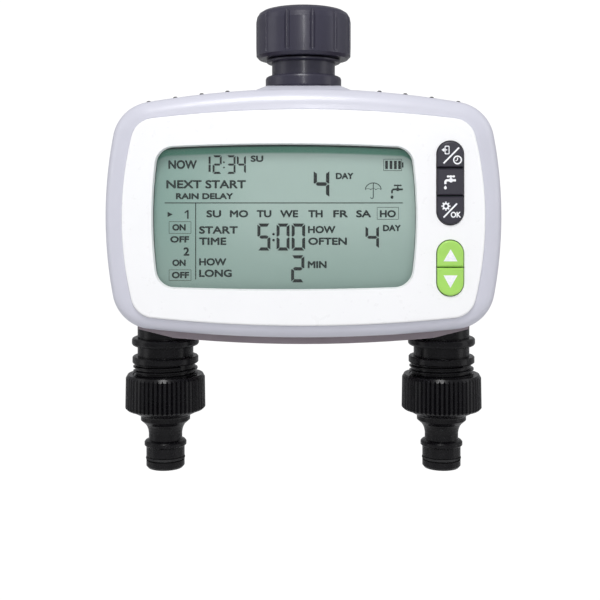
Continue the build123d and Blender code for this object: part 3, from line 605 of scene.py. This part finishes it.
def print_key_icons():
    white = MATERIALS["white_ink"]
    keys = ("mode_key", "manual_key", "set_key", "up_key", "down_key")
    front = {k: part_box(k)[0].y * 1000 - PRINT_GAP_MM for k in keys}
    p = Print("mode_icon", front["mode_key"], white, "mode_key", "dark_key")
    p.bar(53.0, -51.5, 58.9, -45.5, 0.62)
    p.frame(53.6, -47.9, 55.1, -45.0, 0.36)
    p.face([(52.2, -46.4), (53.3, -45.6), (53.3, -47.2)])
    p.bar(53.2, -46.4, 54.4, -46.4, 0.4)
    p.arc(58.3, -50.2, 1.45, 0.5, steps=28)
    p.bar(58.3, -50.2, 58.3, -49.3, 0.34)
    p.bar(58.3, -50.2, 57.6, -50.6, 0.34)
    p.done()
    p = Print("manual_icon", front["manual_key"], white, "manual_key", "dark_key")
    p.tap(55.8, -57.9, 1.0, 0.58)
    p.done()
    p = Print("set_icon", front["set_key"], white, "set_key", "dark_key")
    p.bar(53.0, -72.0, 58.1, -66.7, 0.62)
    p.arc(53.9, -67.7, 0.95, 0.62, steps=28)
    for i in range(8):
        a = math.radians(45 * i)
        p.bar(53.9 + 1.1 * math.cos(a), -67.7 + 1.1 * math.sin(a),
              53.9 + 1.72 * math.cos(a), -67.7 + 1.72 * math.sin(a), 0.5)
    p.word("OK", 55.7, 59.6, -72.1, 2.3, 0.10)
    p.done()
    p = Print("up_icon", front["up_key"], white, "up_key", "green_key")
    p.face([(53.0, -88.6), (58.3, -88.6), (55.7, -84.0)])
    p.done()
    p = Print("down_icon", front["down_key"], white, "down_key", "green_key")
    p.face([(53.0, -93.9), (55.6, -98.7), (58.3, -93.9)])
    p.done()


print_lcd_words()
print_lcd_figures()
print_lcd_icons()
print_key_icons()


# ---- stage, light and camera --------------------------------------------------------
def backdrop():
    """Pale floor that curves up into a wall behind."""
    floor_z, radius, wall_y, half = CAD_LOW.z - 0.20, 0.9, 2.4, 6.0
    profile = [(-5.0, floor_z), (wall_y - radius, floor_z)]
    for i in range(1, 17):
        a = math.radians(90 * i / 16)
        profile.append((wall_y - radius + radius * math.sin(a),
                        floor_z + radius * (1 - math.cos(a))))
    profile.append((wall_y, floor_z + 6.0))
    bm = bmesh.new()
    rows = [(bm.verts.new((-half, y, z)), bm.verts.new((half, y, z))) for y, z in profile]
    for (a, b), (c, d) in zip(rows, rows[1:]):
        bm.faces.new((a, b, d, c)).smooth = True
    mesh = bpy.data.meshes.new("floor")
    bm.to_mesh(mesh)
    bm.free()
    obj = bpy.data.objects.new("floor", mesh)
    bpy.context.scene.collection.objects.link(obj)
    mat, nt, shader, coords = new_material("pale_floor")
    nt.links.new(ramp(nt, noise(nt, coords, 1.5), (0.72, 0.72, 0.72, 1), (0.76, 0.76, 0.76, 1)),
                 shader.inputs["Base Color"])
    shader.inputs["Roughness"].default_value = 0.9
    shader.inputs["Specular IOR Level"].default_value = 0.1
    glow = nt.nodes.new("ShaderNodeEmission")
    glow.inputs["Strength"].default_value = 1.05
    seen = nt.nodes.new("ShaderNodeLightPath").outputs["Is Camera Ray"]
    mix = nt.nodes.new("ShaderNodeMixShader")
    nt.links.new(seen, mix.inputs[0])
    nt.links.new(shader.outputs[0], mix.inputs[1])
    nt.links.new(glow.outputs[0], mix.inputs[2])
    nt.links.new(mix.outputs[0], nt.nodes["Material Output"].inputs["Surface"])
    mesh.materials.append(mat)


def soft_light(name, azimuth, elevation, distance, size, watts, size_y=None):
    """Area light aimed at the case; azimuth 0 is straight in front, positive to the right."""
    a, e = math.radians(azimuth), math.radians(elevation)
    place = Vector((math.sin(a) * math.cos(e), -math.cos(a) * math.cos(e), math.sin(e))) * distance
    data = bpy.data.lights.new(name, "AREA")
    data.shape = "RECTANGLE"
    data.size, data.size_y = size, size_y or size
    data.energy = watts
    obj = bpy.data.objects.new(name, data)
    obj.location = LIGHT_TARGET + place
    obj.rotation_euler = (-place).to_track_quat("-Z", "Y").to_euler()
    bpy.context.scene.collection.objects.link(obj)


def world_light():
    """Even studio surroundings."""
    world = bpy.data.worlds.new("studio")
    bpy.context.scene.world = world
    world.use_nodes = True
    background = world.node_tree.nodes["Background"]
    background.inputs["Color"].default_value = (0.96, 0.97, 1.0, 1)
    # white where the camera sees it, dimmer as a light so that black plastic stays black
    seen = world.node_tree.nodes.new("ShaderNodeLightPath").outputs["Is Camera Ray"]
    strength = world.node_tree.nodes.new("ShaderNodeMath")
    strength.operation = "MULTIPLY_ADD"
    strength.inputs[1].default_value, strength.inputs[2].default_value = 0.55, 0.55
    world.node_tree.links.new(seen, strength.inputs[0])
    world.node_tree.links.new(strength.outputs[0], background.inputs["Strength"])


def front_camera():
    """Level camera straight in front; the lens shift keeps the horizon high in the picture."""
    data = bpy.data.cameras.new("camera")
    data.sensor_width, data.lens = 36.0, 60.24
    data.shift_x, data.shift_y = -0.0058, -0.1683
    data.clip_start = 0.02
    obj = bpy.data.objects.new("camera", data)
    obj.location = (0.0, -0.415, -0.065)
    obj.rotation_euler = (math.radians(90), 0, 0)
    bpy.context.scene.collection.objects.link(obj)
    bpy.context.scene.camera = obj


backdrop()
world_light()
soft_light("key", -6, 50, 1.0, 0.30, 4.6)
soft_light("left_box", -80, 10, 0.9, 0.35, 0.9, 0.9)
soft_light("right_box", 80, 10, 0.9, 0.35, 0.95, 0.9)
soft_light("front_strip", 1, 15, 1.2, 0.06, 1.7, 0.30)
front_camera()
bpy.context.scene.view_settings.view_transform = "Standard"
